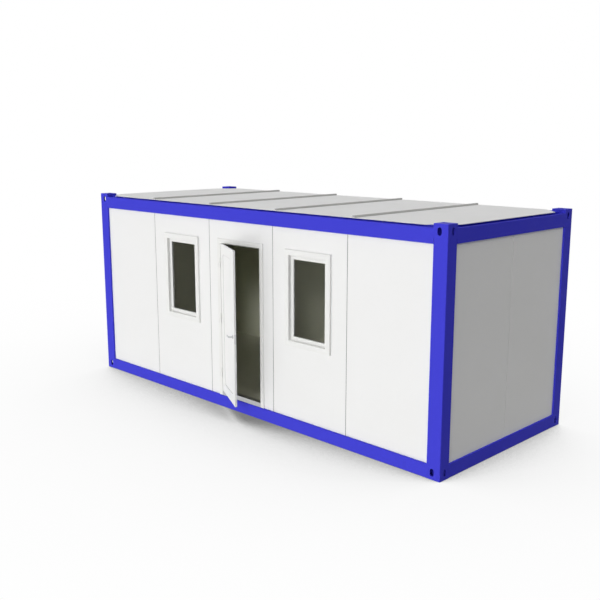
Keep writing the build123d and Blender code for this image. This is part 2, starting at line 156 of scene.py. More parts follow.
def sandwichPanel(name, spec):
    mat, place = startFinish(name)
    drift = addNode(mat, "ShaderNodeTexNoise", {
        "Vector": place, "Scale": perMetre(spec["driftMm"]), "Detail": 3.0})
    outer = addNode(mat, "ShaderNodeMix", {
        "Factor": drift.outputs["Fac"], mixA: fromHex(spec["colour"]), mixB: fromHex(spec["drift"])},
        data_type="RGBA")
    inner = addNode(mat, "ShaderNodeMix", {
        "Factor": drift.outputs["Fac"], mixA: fromHex(spec["lining"]), mixB: fromHex(spec["liningDrift"])},
        data_type="RGBA")
    axes = addNode(mat, "ShaderNodeSeparateXYZ", {0: place})
    acrossX = addNode(mat, "ShaderNodeMath", {0: axes.outputs["X"]}, operation="ABSOLUTE")
    acrossY = addNode(mat, "ShaderNodeMath", {0: axes.outputs["Y"]}, operation="ABSOLUTE")
    nearX = addNode(mat, "ShaderNodeMath", {0: acrossX.outputs[0], 1: spec["insideX"]}, operation="LESS_THAN")
    nearY = addNode(mat, "ShaderNodeMath", {0: acrossY.outputs[0], 1: spec["insideY"]}, operation="LESS_THAN")
    inside = addNode(mat, "ShaderNodeMath", {0: nearX.outputs[0], 1: nearY.outputs[0]}, operation="MULTIPLY")
    tone = addNode(mat, "ShaderNodeMix", {
        "Factor": inside.outputs[0], mixA: outer.outputs[mixOut], mixB: inner.outputs[mixOut]},
        data_type="RGBA")
    gloss = addNode(mat, "ShaderNodeTexNoise", {
        "Vector": place, "Scale": perMetre(spec["glossMm"]), "Detail": 4.0})
    rough = addNode(mat, "ShaderNodeMapRange", {
        "Value": gloss.outputs["Fac"], **noiseSpan, "To Min": spec["roughLow"], "To Max": spec["roughHigh"]})
    wave = addNode(mat, "ShaderNodeTexNoise", {
        "Vector": place, "Scale": perMetre(spec["waveMm"]), "Detail": 1.0})
    peel = addNode(mat, "ShaderNodeTexNoise", {
        "Vector": place, "Scale": perMetre(spec["peelMm"]), "Detail": 2.0})
    waveBump = addNode(mat, "ShaderNodeBump", {
        "Height": wave.outputs["Fac"], "Strength": 0.5, "Distance": metres(spec["waveDepthMm"])})
    bump = addNode(mat, "ShaderNodeBump", {
        "Height": peel.outputs["Fac"], "Strength": 0.3, "Distance": metres(spec["peelDepthMm"]),
        "Normal": waveBump.outputs[0]})
    return endFinish(mat, {
        "Base Color": tone.outputs[mixOut], "Roughness": rough.outputs[0], "Normal": bump.outputs[0],
        "IOR": spec["ior"]})


# rolled, plated or anodised metal: a grain drawn out along one axis, and patches where it is duller
def workedMetal(name, spec):
    mat, place = startFinish(name)
    stretch = addNode(mat, "ShaderNodeMapping", {"Vector": place, "Scale": spec["grainStretch"]})
    grain = addNode(mat, "ShaderNodeTexNoise", {
        "Vector": stretch.outputs[0], "Scale": perMetre(spec["grainMm"]), "Detail": 3.0})
    patch = addNode(mat, "ShaderNodeTexNoise", {
        "Vector": place, "Scale": perMetre(spec["patchMm"]), "Detail": 3.0})
    tone = addNode(mat, "ShaderNodeMix", {
        "Factor": patch.outputs["Fac"], mixA: fromHex(spec["colour"]), mixB: fromHex(spec["dull"])},
        data_type="RGBA")
    rough = addNode(mat, "ShaderNodeMapRange", {
        "Value": grain.outputs["Fac"], **noiseSpan, "To Min": spec["roughLow"], "To Max": spec["roughHigh"]})
    bump = addNode(mat, "ShaderNodeBump", {
        "Height": grain.outputs["Fac"], "Strength": 0.3, "Distance": metres(spec["grainDepthMm"])})
    return endFinish(mat, {
        "Base Color": tone.outputs[mixOut], "Roughness": rough.outputs[0], "Normal": bump.outputs[0],
        "Metallic": 1.0})


# mill-finish aluminium: bright, with rolling lines along the sill
millAluminium = {
    "colour": "#d9dadb", "dull": "#c9cacb", "patchMm": 90.0, "grainMm": 3.0, "grainStretch": (0.04, 1.0, 1.0),
    "grainDepthMm": 0.05, "roughLow": 0.32, "roughHigh": 0.46}
# zinc-plated steel: cool grey and a little cloudy
platedSteel = {
    "colour": "#c9cbcc", "dull": "#b4b7b9", "patchMm": 25.0, "grainMm": 4.0, "grainStretch": (1.0, 1.0, 0.3),
    "grainDepthMm": 0.02, "roughLow": 0.3, "roughHigh": 0.44}
# satin anodised aluminium: soft shine with a fine grain along the lever
satinAluminium = {
    "colour": "#cfd0d1", "dull": "#c2c3c4", "patchMm": 40.0, "grainMm": 2.0, "grainStretch": (0.1, 1.0, 1.0),
    "grainDepthMm": 0.02, "roughLow": 0.28, "roughHigh": 0.4}

# hot-dip galvanised steel: crystal spangle, each cell its own grey and its own gloss
zincSpangle = {"cellMm": 14.0, "pale": "#b9bdc0", "dark": "#8c9194", "roughLow": 0.34, "roughHigh": 0.56}


def galvanisedSteel(name, spec):
    mat, place = startFinish(name)
    cells = addNode(mat, "ShaderNodeTexVoronoi", {"Vector": place, "Scale": perMetre(spec["cellMm"])})
    pick = addNode(mat, "ShaderNodeSeparateXYZ", {0: cells.outputs["Color"]})
    tone = addNode(mat, "ShaderNodeMix", {
        "Factor": pick.outputs["X"], mixA: fromHex(spec["dark"]), mixB: fromHex(spec["pale"])},
        data_type="RGBA")
    rough = addNode(mat, "ShaderNodeMapRange", {
        "Value": pick.outputs["Y"], "To Min": spec["roughLow"], "To Max": spec["roughHigh"]})
    return endFinish(mat, {
        "Base Color": tone.outputs[mixOut], "Roughness": rough.outputs[0], "Metallic": 1.0})


# printed sheet vinyl: pale, with mixed flecks under a satin wear layer
vinylFlecks = {
    "ground": "#d7d7c4", "fleck": "#e1e0d0", "fleckMm": 7.0, "grainMm": 3.0, "grainDepthMm": 0.03,
    "rough": 0.34, "ior": 1.5}


def sheetVinyl(name, spec):
    mat, place = startFinish(name)
    fleck = addNode(mat, "ShaderNodeTexVoronoi", {"Vector": place, "Scale": perMetre(spec["fleckMm"])})
    pick = addNode(mat, "ShaderNodeSeparateXYZ", {0: fleck.outputs["Color"]})
    tone = addNode(mat, "ShaderNodeMix", {
        "Factor": pick.outputs["X"], mixA: fromHex(spec["ground"]), mixB: fromHex(spec["fleck"])},
        data_type="RGBA")
    grain = addNode(mat, "ShaderNodeTexNoise", {
        "Vector": place, "Scale": perMetre(spec["grainMm"]), "Detail": 2.0})
    bump = addNode(mat, "ShaderNodeBump", {
        "Height": grain.outputs["Fac"], "Strength": 0.4, "Distance": metres(spec["grainDepthMm"])})
    return endFinish(mat, {
        "Base Color": tone.outputs[mixOut], "Roughness": spec["rough"], "Normal": bump.outputs[0],
        "IOR": spec["ior"]})


# extruded plastic or moulded rubber: even colour, soft gloss and a very fine skin
def mouldedSkin(name, spec):
    mat, place = startFinish(name)
    drift = addNode(mat, "ShaderNodeTexNoise", {
        "Vector": place, "Scale": perMetre(spec["driftMm"]), "Detail": 2.0})
    tone = addNode(mat, "ShaderNodeMix", {
        "Factor": drift.outputs["Fac"], mixA: fromHex(spec["colour"]), mixB: fromHex(spec["drift"])},
        data_type="RGBA")
    skin = addNode(mat, "ShaderNodeTexNoise", {
        "Vector": place, "Scale": perMetre(spec["skinMm"]), "Detail": 2.0})
    rough = addNode(mat, "ShaderNodeMapRange", {
        "Value": skin.outputs["Fac"], **noiseSpan, "To Min": spec["roughLow"], "To Max": spec["roughHigh"]})
    bump = addNode(mat, "ShaderNodeBump", {
        "Height": skin.outputs["Fac"], "Strength": 0.25, "Distance": metres(spec["skinDepthMm"])})
    return endFinish(mat, {
        "Base Color": tone.outputs[mixOut], "Roughness": rough.outputs[0], "Normal": bump.outputs[0],
        "IOR": spec["ior"]})


# extruded window plastic: clean white with a low sheen
windowPlastic = {
    "colour": "#f1f1ef", "drift": "#ededeb", "driftMm": 300.0, "roughLow": 0.36, "roughHigh": 0.46,
    "skinMm": 6.0, "skinDepthMm": 0.02, "ior": 1.12}
# moulded black rubber: dark grey to the eye, and dull; on the wall joints its dark grey is painted shade for the
# shadow in the gaps
sealRubberAndJointShade = {
    "colour": "#3c3d3e", "drift": "#363738", "driftMm": 60.0, "roughLow": 0.6, "roughHigh": 0.75,
    "skinMm": 3.0, "skinDepthMm": 0.05, "ior": 1.5}
# extruded grey rubber: pale and dull, so that it hardly shows beside the white; round the door leaf's fields its
# grey is painted shade, and in the corner between window casing and sash it is partly painted shade
greyGasketAndShade = {
    "colour": "#d6d7d4", "drift": "#d0d1ce", "driftMm": 60.0, "roughLow": 0.55, "roughHigh": 0.7,
    "skinMm": 3.0, "skinDepthMm": 0.04, "ior": 1.5}

# clear float glass: see-through, so that daylight comes in, slightly grey, with a weak reflection
paneGlass = {"film": "#33342e", "alpha": 0.1, "rough": 0.02, "ior": 1.5, "rollMm": 700.0, "rollDepthMm": 0.15}


def floatGlass(name, spec):
    mat, place = startFinish(name)
    roll = addNode(mat, "ShaderNodeTexNoise", {
        "Vector": place, "Scale": perMetre(spec["rollMm"]), "Detail": 0.0})
    bump = addNode(mat, "ShaderNodeBump", {
        "Height": roll.outputs["Fac"], "Strength": 0.2, "Distance": metres(spec["rollDepthMm"])})
    return endFinish(mat, {
        "Base Color": fromHex(spec["film"]), "Roughness": spec["rough"], "Normal": bump.outputs[0],
        "Alpha": spec["alpha"], "IOR": spec["ior"]})


finishes = {
    "frame_paint": coatedSteel("sprayedBlueEnamel", frameEnamel),
    "panel_skin": sandwichPanel("coilCoatedWhiteSteel", panelSkin),
    "roof_skin": coatedSteel("coilCoatedPaleSteel", roofCoating),
    "seam_cap": coatedSteel("foldedGreySteel", capCoating),
    "zinc_steel": galvanisedSteel("hotDipGalvanisedSteel", zincSpangle),
    "floor_covering": sheetVinyl("printedSheetVinyl", vinylFlecks),
    "ceiling_skin": coatedSteel("coilCoatedLiningSteel", ceilingCoating),
    "window_plastic": mouldedSkin("extrudedWhiteVinyl", windowPlastic),
    "window_glass": floatGlass("clearFloatGlass", paneGlass),
    "door_frame_paint": coatedSteel("powderCoatedWhiteSteel", doorFrameCoating),
    "door_skin": coatedSteel("pressedWhiteSteel", leafCoating),
    "threshold_metal": workedMetal("millFinishAluminium", millAluminium),
    "hinge_paint": coatedSteel("brushPaintedWhiteSteel", hingeCoating),
    "handle_metal": workedMetal("satinAnodisedAluminium", satinAluminium),
}
trimFinishes = {
    "plated": workedMetal("zincPlatedSteel", platedSteel),
    "rubber": mouldedSkin("mouldedBlackRubber", sealRubberAndJointShade),
    "gasket": mouldedSkin("extrudedGreyRubber", greyGasketAndShade),
}
for part in frame["record"]["subparts"]:
    for materialSlot in nodes[part["node"]].material_slots:
        materialSlot.material = finishes[part["material_slot"]]
print("finishes set:", len(finishes) + len(trimFinishes))


# camera at the photograph's viewpoint: place in metres, angles in degrees, lens and sensor in millimetres
viewPoint = {"place": (7.54876, -7.71944, 3.41468), "azimuth": 44.986, "elevation": 11.236,
             "lens": 49.78, "sensor": 36.0}
cameraData = bpy.data.cameras.new("viewCamera")
cameraData.lens = viewPoint["lens"]
cameraData.sensor_width = viewPoint["sensor"]
camera = bpy.data.objects.new("viewCamera", cameraData)
camera.location = viewPoint["place"]
camera.rotation_euler = Euler((radians(90 - viewPoint["elevation"]), 0, radians(viewPoint["azimuth"])))
bpy.context.scene.collection.objects.link(camera)
bpy.context.scene.camera = camera
bpy.context.scene.view_settings.view_transform = "Standard"


def shownRays(mat):  # 1 for camera, gloss and glass, which see the plain background, and 0 for other light
    rays = addNode(mat, "ShaderNodeLightPath")
    seen = addNode(mat, "ShaderNodeMath", {
        0: rays.outputs["Is Camera Ray"], 1: rays.outputs["Is Glossy Ray"]}, operation="MAXIMUM")
    shown = addNode(mat, "ShaderNodeMath", {
        0: seen.outputs[0], 1: rays.outputs["Is Transmission Ray"]}, operation="MAXIMUM")
    return shown.outputs[0]


# soft light: a broad glow overhead, a broad one from the front that also comes from below, as off a bright
# floor, and a small one from the front right that reaches into the room; each glow adds its strength times
# the cosine of the angle from its middle, raised to its spread
skyLight = {
    "base": 0.176, "background": (1.0, 1.0, 1.0, 1.0),
    "glows": (  # (from, spread, strength)
        ((0.0, 0.0, 1.0), 3.0, 0.96),
        ((-0.35, -0.83, -0.35), 6.0, 2.583),
        ((0.389, -0.834, 0.391), 300.0, 34.0))}
world = bpy.data.worlds.new("softStudio")
world.use_nodes = True
world.node_tree.nodes.clear()
bpy.context.scene.world = world
heading = addNode(world, "ShaderNodeTexCoord").outputs["Generated"]
brightness = skyLight["base"]
for glowFrom, spread, strength in skyLight["glows"]:
    towards = addNode(world, "ShaderNodeVectorMath", {
        0: heading, 1: Vector(glowFrom).normalized()}, operation="DOT_PRODUCT")
    facing = addNode(world, "ShaderNodeMath", {0: towards.outputs["Value"], 1: 0.0}, operation="MAXIMUM")
    glow = addNode(world, "ShaderNodeMath", {0: facing.outputs[0], 1: spread}, operation="POWER")
    brightness = addNode(world, "ShaderNodeMath", {
        0: glow.outputs[0], 1: strength, 2: brightness}, operation="MULTIPLY_ADD").outputs[0]
lit = addNode(world, "ShaderNodeBackground", {"Color": skyLight["background"], "Strength": brightness})
plain = addNode(world, "ShaderNodeBackground", {"Color": skyLight["background"], "Strength": 1.0})
backdrop = addNode(world, "ShaderNodeMixShader", {
    0: shownRays(world), 1: lit.outputs[0], 2: plain.outputs[0]})
addNode(world, "ShaderNodeOutputWorld", {"Surface": backdrop.outputs[0]})

# floor: white to the camera, darkening softly where the cabin shuts out the sky; other light passes it, so
# that the glow from the front reaches the walls from below too
floorLook = {
    "half": 40.0, "reach": 6.0, "samples": 16,
    "shade": (  # (share of open sky, brightness)
        (0.42, 0.2), (0.47, 0.37), (0.505, 0.57), (0.537, 0.69),
        (0.583, 0.81), (0.636, 0.89), (0.75, 0.94), (0.98, 1.0))}
floorMat = startFinish("palePaintedFloor")[0]
openSky = addNode(floorMat, "ShaderNodeAmbientOcclusion", {
    "Distance": floorLook["reach"]}, samples=floorLook["samples"])
ramp = addNode(floorMat, "ShaderNodeValToRGB", {"Fac": openSky.outputs["AO"]})
stops = ramp.color_ramp.elements
while len(stops) < len(floorLook["shade"]):
    stops.new(0.5)  # put in its place below
for stop, (openShare, shade) in zip(stops, floorLook["shade"]):
    stop.position = openShare
    stop.color = (shade, shade, shade, 1)
shownFloor = addNode(floorMat, "ShaderNodeEmission", {"Color": ramp.outputs["Color"], "Strength": 1.0})
clearFloor = addNode(floorMat, "ShaderNodeBsdfTransparent")
floorMix = addNode(floorMat, "ShaderNodeMixShader", {
    0: shownRays(floorMat), 1: clearFloor.outputs[0], 2: shownFloor.outputs[0]})
addNode(floorMat, "ShaderNodeOutputMaterial", {"Surface": floorMix.outputs[0]})
floorMesh = bpy.data.meshes.new("studioFloor")
half = floorLook["half"]
floorCorners = [(-half, -half, 0), (half, -half, 0), (half, half, 0), (-half, half, 0)]
floorMesh.from_pydata(floorCorners, [], [(0, 1, 2, 3)])
floorMesh.materials.append(floorMat)
floor = bpy.data.objects.new("studioFloor", floorMesh)
bpy.context.scene.collection.objects.link(floor)
print("camera, light and floor set")


# helpers for shapes: a shape is its points and its faces
easeShare = 0.3  # an eased edge's middle point, in from both faces, as a share of the ease
poleRound = 0.0005  # radius of the flat that closes a turned shape on its axis


# quads of a grid of rows and columns, each direction open or closed on itself
def gridQuads(rows, cols, closeRows=False, closeCols=False):
    row = np.arange(rows if closeRows else rows - 1)[:, None]
    col = np.arange(cols if closeCols else cols - 1)[None, :]
    nextRow, nextCol = (row + 1) % rows, (col + 1) % cols
    corners = [row * cols + col, nextRow * cols + col, nextRow * cols + nextCol, row * cols + nextCol]
    return np.stack([np.broadcast_to(corner, (row.size, col.size)).ravel() for corner in corners], 1).tolist()


# faces of a tube: quads between its rings, and a flat face on each end
def tubeFaces(rings, count):
    last = (rings - 1) * count
    ends = [list(range(count))[::-1], list(range(last, last + count))]
    return gridQuads(rings, count, False, True) + ends


# several shapes as one: their points in a row, and the faces shifted to match
def joinShapes(shapes):
    starts = np.cumsum([0] + [len(points) for points, faces in shapes]).tolist()
    faces = [[at + start for at in face] for start, shape in zip(starts, shapes) for face in shape[1]]
    return np.concatenate([points for points, faces in shapes]), faces


def turnedOver(shape):  # the same shape with its faces looking the other way
    points, faces = shape
    return points, [face[::-1] for face in faces]


# closed mesh from points and faces, turned outwards by the sign of its volume
def makePiece(name, shape, body, slotName, finish=None, stands=(), smoothAngle=35.0):
    points, faces = shape
    fans = np.array([(face[0], face[at], face[at + 1]) for face in faces for at in range(1, len(face) - 1)])
    corner = points[fans] - points.mean(0)
    volume = np.einsum("ij,ij->", corner[:, 0], np.cross(corner[:, 1], corner[:, 2]))
    if volume < 0:
        points, faces = turnedOver(shape)
    mesh = bpy.data.meshes.new(name)
    mesh.from_pydata(points.tolist(), [], faces)
    mesh.shade_smooth()
    mesh.set_sharp_from_angle(angle=radians(smoothAngle))
    mesh.materials.append(finish or finishes[slotName])
    piece = bpy.data.objects.new(name, mesh)
    bpy.context.scene.collection.objects.link(piece)
    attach(piece, body)
    if stands:
        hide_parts(*stands)


# a profile of (inset, depth) carried round a path of points in the wall's plane: at each corner the
# inset goes along the mean of the two edge normals, stretched so that the mitre keeps its width
def carryProfile(path, profile, closed=True):
    path, profile = np.asarray(path, float), np.asarray(profile, float)
    edge = np.roll(path, -1, 0) - path
    edge /= np.linalg.norm(edge, axis=1)[:, None]
    normal = np.stack([-edge[:, 1], edge[:, 0]], 1)  # to the left, so into a path that runs anticlockwise
    before = np.roll(normal, 1, 0)
    if not closed:
        before[0], normal[-1] = normal[0], before[-1]
    mitre = (before + normal) / (1 + np.sum(before * normal, 1))[:, None]
    flat = path[:, None, :] + profile[None, :, :1] * mitre[:, None, :]
    depth = np.broadcast_to(profile[None, :, 1:], flat.shape[:2] + (1,))
    rows, cols = len(path), len(profile)
    faces = gridQuads(rows, cols, True, True) if closed else tubeFaces(rows, cols)
    return np.concatenate([flat, depth], 2).reshape(-1, 3), faces


# a profile of (radius, height) turned about an axis: flat faces close its ends, or it closes as a ring
def turnProfile(profile, steps, ring=False):
    profile = np.asarray(profile, float)
    turn = np.arange(steps) * 2 * pi / steps
    circle = np.stack([np.cos(turn), np.sin(turn)], 1)
    flat = profile[:, None, :1] * circle[None]
    height = np.broadcast_to(profile[:, None, 1:], flat.shape[:2] + (1,))
    rows = len(profile)
    faces = gridQuads(rows, steps, True, True) if ring else tubeFaces(rows, steps)
    return np.concatenate([flat, height], 2).reshape(-1, 3), faces


# rounded rectangle, anticlockwise: a quarter circle at each corner
def plateOutline(wide, tall, corner, steps=5):
    quarter = np.linspace(0, pi / 2, steps)
    corners = ((1, 1), (-1, 1), (-1, -1), (1, -1))
    return np.concatenate([np.stack([
        right * (wide / 2 - corner) + corner * np.cos(quarter + turns * pi / 2),
        top * (tall / 2 - corner) + corner * np.sin(quarter + turns * pi / 2)], 1)
        for turns, (right, top) in enumerate(corners)])


def jointPlaces(count, pitch):  # where count equal pieces, set side by side about the middle, meet
    return pitch * (np.arange(count - 1) - (count - 2) / 2)


def nodePoints(node):  # a node's points as an array
    mesh = nodes[node].data
    flat = np.empty(len(mesh.vertices) * 3, np.float32)
    mesh.vertices.foreach_get("co", flat)
    return flat.reshape(-1, 3).astype(float)


frameFace = float(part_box("corner_post_front_left")[0].y)  # the frame's front face


def onWall(shape):  # (along, up, depth) to the front wall
    points, faces = shape
    return np.stack([points[:, 0], frameFace + points[:, 2], points[:, 1]], 1), faces


def rectangle(low, high):  # anticlockwise corners of a node's box, seen from the front
    return [(low.x, low.z), (high.x, low.z), (high.x, high.z), (low.x, high.z)]


# windows: extruded casing and sash with eased edges, a glazing lip, and gaskets at the glass and the casing; the
# grey gasket at the casing is partly painted shade for the shadow line between casing and sash
windowShape = {
    "bar": 0.066, "proud": 0.022, "tail": 0.025, "back": 0.082, "ease": 0.0025,
    "drip": 0.006, "dripShares": (0.3, 0.2),  # the casing's sloped inner edge, and its middle point
    "sashBar": 0.042, "bite": 0.012, "seat": 0.0003, "grooveShare": 0.4,
    "lipIn": 0.002, "lipOut": 0.004, "lipTall": 0.003,
    "gasketWide": 0.004, "gasketTall": 0.0022, "gasketEdge": 0.001, "gasketShares": (0.8, 0.3),
    "rebate": 0.003, "rebateShares": ((0.0, 0.0), (0.0, 1.0), (0.4, 0.9), (1.0, 0.3), (1.0, 0.0))}


def casingProfile(spec):  # (inset, depth) over the face, back along the opening, and round the tail
    bar, ease, drip = spec["bar"], spec["ease"], spec["drip"]
    nick = ease * easeShare
    dripIn, dripDeep = (drip * share for share in spec["dripShares"])
    return [
        (0.0, spec["proud"]), (0.0, ease), (nick, nick), (ease, 0.0),
        (bar - drip, 0.0), (bar - dripIn, dripDeep), (bar, drip),
        (bar, spec["back"]), (spec["tail"], spec["back"]), (spec["tail"], spec["proud"])]


# (inset, depth) over one face of the sash and its glazing lip, down to the glass; out is -1 on the front
# and 1 on the back
def sashHalf(spec, face, pane, out):
    bar, ease = spec["sashBar"], spec["ease"]
    nick, groove = ease * easeShare, bar - spec["bite"]
    return [
        (0.0, face - out * ease), (nick, face - out * nick), (ease, face),
        (groove - ease, face), (groove, face - out * ease * spec["grooveShare"]),
        (bar - spec["lipIn"], pane + out * spec["lipOut"]), (bar, pane + out * spec["lipTall"]),
        (bar, pane + out * spec["seat"]), (groove, pane + out * spec["seat"])]


def glassGasket(spec, pane, out):  # (inset, depth) of the sloped strip on one face of the glass
    bar, wide, tall = spec["sashBar"], spec["gasketWide"], spec["gasketTall"]
    low, high = (bar + wide * share for share in spec["gasketShares"])
    return [(bar, pane), (bar + wide, pane), (low, pane + out * spec["gasketEdge"]),
            (high, pane + out * tall), (bar, pane + out * tall)]


def rebateGasket(spec, face):  # (inset, depth) of the bead in the corner between casing and sash, partly a gasket and partly painted shade for the shadow line there
    return [(spec["rebate"] * across, face - spec["rebate"] * out) for across, out in spec["rebateShares"]]


for side in ("left", "right"):
    casingPath = rectangle(*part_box(f"window_{side}_frame"))
    sashLow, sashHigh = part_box(f"window_{side}_sash")
    sashPath = rectangle(sashLow, sashHigh)
    sashFront, sashBack = sashLow.y - frameFace, sashHigh.y - frameFace
    glassFront, glassBack = (corner.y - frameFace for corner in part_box(f"window_{side}_glass"))
    casing = carryProfile(casingPath, casingProfile(windowShape))
    makePiece(f"window_{side}_casing", onWall(casing), "cabin", "window_plastic",
              stands=[f"window_{side}_frame"])
    outerHalf = sashHalf(windowShape, sashFront, glassFront, -1)
    innerHalf = sashHalf(windowShape, sashBack, glassBack, 1)
    sash = carryProfile(sashPath, outerHalf + innerHalf[::-1])
    makePiece(f"window_{side}_sash_bars", onWall(sash), "cabin", "window_plastic",
              stands=[f"window_{side}_sash"])
    gaskets = joinShapes([
        carryProfile(sashPath, glassGasket(windowShape, glassFront, -1)),
        turnedOver(carryProfile(sashPath, glassGasket(windowShape, glassBack, 1))),
        turnedOver(carryProfile(sashPath, rebateGasket(windowShape, sashFront)))])
    makePiece(f"window_{side}_gasket", onWall(gaskets), "cabin", "window_plastic", trimFinishes["gasket"])
print("windows dressed")


# door frame: two jambs and a head in one folded section with a stop, open at the foot
doorFrameShape = {
    "bar": 0.058, "stop": 0.012, "front": 0.010, "stopDepth": 0.041, "back": 0.082, "ease": 0.0025,
    "sealWide": 0.009, "sealTall": 0.0032, "sealAway": 0.001, "sealSteps": 7}
doorwayLow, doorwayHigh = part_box("door_frame")


def jambPath(foot):  # up the right jamb, along the head and down the left jamb
    left, right, top = doorwayLow.x, doorwayHigh.x, doorwayHigh.z
    return [(right, foot), (right, top), (left, top), (left, foot)]


def jambProfile(spec):  # (inset, depth) from the back over the face and the stop, to the back again
    bar, front, ease, stopDepth = spec["bar"], spec["front"], spec["ease"], spec["stopDepth"]
    nick, stopBar = ease * easeShare, bar + spec["stop"]
    return [
        (0.0, spec["back"]), (0.0, front + ease), (nick, front + nick), (ease, front),
        (bar - ease, front), (bar - nick, front + nick), (bar, front + ease),
        (bar, stopDepth), (stopBar - ease, stopDepth), (stopBar, stopDepth + ease), (stopBar, spec["back"])]


def sealProfile(spec):  # (inset, depth) of a bulb on the stop, half an ellipse, short of the closed leaf
    turn = np.linspace(0, pi, spec["sealSteps"])
    halfWide = spec["sealWide"] / 2
    inset = spec["bar"] + spec["sealAway"] + halfWide * (1 - np.cos(turn))
    depth = spec["stopDepth"] - spec["sealTall"] * np.sin(turn)
    return np.stack([inset, depth], 1)


jambs = carryProfile(jambPath(doorwayLow.z), jambProfile(doorFrameShape), closed=False)
makePiece("door_frame_section", onWall(jambs), "cabin", "door_frame_paint", stands=["door_frame"])
sealFoot = float(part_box("door_threshold")[1].z)
stopSeal = carryProfile(jambPath(sealFoot), sealProfile(doorFrameShape), closed=False)
makePiece("door_stop_seal", onWall(stopSeal), "cabin", "door_frame_paint", trimFinishes["rubber"])
print("door frame dressed")


# the leaf's own frame: along from the hinge line, depth inwards, up
joints = {joint["name"]: joint for joint in frame["joints"]}
pinPlace = np.array(joints["door_swing"]["pos_m"][:2])
openAngle = radians(-joints["door_swing"]["range_deg"][0])
leafAlong = np.array([cos(openAngle), -sin(openAngle)])
leafInwards = np.array([sin(openAngle), cos(openAngle)])


def onLeaf(shape):  # (along, depth, up) to the open leaf
    points, faces = shape
    flat = pinPlace + points[:, :1] * leafAlong + points[:, 1:2] * leafInwards
    return np.concatenate([flat, points[:, 2:]], 1), faces


def leafBox(node):  # a node's box in the leaf's frame
    points = nodePoints(node)
    flat = points[:, :2] - pinPlace
    own = np.stack([flat @ leafAlong, flat @ leafInwards, points[:, 2]], 1)
    return own.min(0), own.max(0)


# door leaf: rounded outlines of (inset, sunk) run from the outer field over the edge to the inner field; the
# slope into a field is half a cosine wave, the leaf's edge a quarter circle, and flat fields close the ends
leafShape = {
    "fieldInset": 0.115, "fieldDepth": 0.007, "slope": 0.004, "fieldRound": 0.04, "edgeRound": 0.0015,
    "ease": 0.003, "hold": 0.004, "slopeSteps": 9, "easeSteps": 6, "cornerSteps": 9, "smoothAngle": 50.0}
leafLow, leafHigh = leafBox("door_leaf")
leafMiddle, leafSpan = (leafLow + leafHigh) / 2, leafHigh - leafLow


def leafOutline(inset, corner):  # (along, up) round the leaf's middle
    return plateOutline(leafSpan[0] - 2 * inset, leafSpan[2] - 2 * inset, corner, leafShape["cornerSteps"])


def pressedLeaf(spec):
    fieldInset, fieldDepth, slope = spec["fieldInset"], spec["fieldDepth"], spec["slope"]
    ease, hold = spec["ease"], spec["hold"]
    share = np.linspace(1, 0, spec["slopeSteps"])
    turn = np.linspace(0, pi / 2, spec["easeSteps"])
    inset = np.concatenate([
        [fieldInset + slope + hold], fieldInset + slope * share,
        [fieldInset - hold, ease + hold], ease * (1 - np.sin(turn))])
    sunk = np.concatenate([
        [fieldDepth], fieldDepth * (1 - np.cos(pi * share)) / 2, [0, 0], ease * (1 - np.cos(turn))])
    nearField = inset > fieldInset / 2
    corner = np.where(nearField, spec["fieldRound"] + fieldInset - inset, spec["edgeRound"])
    rings = np.stack([leafOutline(*ring) for ring in zip(inset, corner)])
    rings = np.concatenate([rings, rings[::-1]])
    depth = np.concatenate([leafLow[1] + sunk, leafHigh[1] - sunk[::-1]])
    depth = np.broadcast_to(depth[:, None], rings.shape[:2])
    points = np.stack([leafMiddle[0] + rings[..., 0], depth, leafMiddle[2] + rings[..., 1]], -1)
    return onLeaf((points.reshape(-1, 3), tubeFaces(*rings.shape[:2])))


leafSkin = pressedLeaf(leafShape)
makePiece("door_leaf_pressing", leafSkin, "door", "door_skin", stands=["door_leaf"],
          smoothAngle=leafShape["smoothAngle"])

# grey bead in the foot of each field's slope: a lip of (inset, depth), a quarter ellipse, round the field; its
# grey is painted shade that darkens the line round the field
fieldShadeBead = {"inset": 0.1172, "wide": 0.005, "tall": 0.0058, "round": 0.0378, "steps": 5}


def beadRound(spec, level, out):
    path = leafOutline(spec["inset"], spec["round"]) + leafMiddle[[0, 2]]
    turn = np.linspace(0, pi / 2, spec["steps"])
    lip = np.stack([spec["wide"] * np.sin(turn), level + out * spec["tall"] * np.cos(turn)], 1)
    points, faces = carryProfile(path, np.concatenate([[(0.0, level)], lip]))
    return onLeaf((points[:, [0, 2, 1]], faces))


fieldShadeBeads = joinShapes([
    beadRound(fieldShadeBead, leafLow[1] + leafShape["fieldDepth"], -1),
    turnedOver(beadRound(fieldShadeBead, leafHigh[1] - leafShape["fieldDepth"], 1))])
makePiece("leaf_field_beads", fieldShadeBeads, "door", "door_skin", trimFinishes["gasket"])
print("door leaf pressed:", len(leafSkin[1]), "faces")


# lever: a section of half width a and half height b, |u/a|^n + |v/b|^n = 1, carried along a neck, a bend and
# an arm; it goes from a circle on the neck to a flat rounded bar on the arm, whose tip is a quarter ellipse
leverShape = {
    "neckRound": 0.009, "barHalfTall": 0.0105, "barHalfThick": 0.0045, "bend": 0.013, "armBack": 0.097,
    "tip": 0.010, "tipTurn": 0.46 * pi, "tipKeep": 0.35,  # the tip's sweep, and the thickness left at its end
    "square": 3.6, "steps": 32, "neckSteps": 5, "bendSteps": 9, "armSteps": 7, "tipSteps": 7,
    "smoothAngle": 45.0,
    "turnRound": 0.018, "turnThick": 0.006, "ease": 0.0016,
    "crownShares": ((0.0, 1.6), (0.6, 0.5), (2.0, 0.0))}  # the inside turn's rim, (in, down) in eases
leverLow, leverHigh = leafBox("door_handle")
spindle = np.array(joints["handle_turn"]["pos_m"])
spindleAlong = float((spindle[:2] - pinPlace) @ leafAlong)
middleDepth = leafMiddle[1]


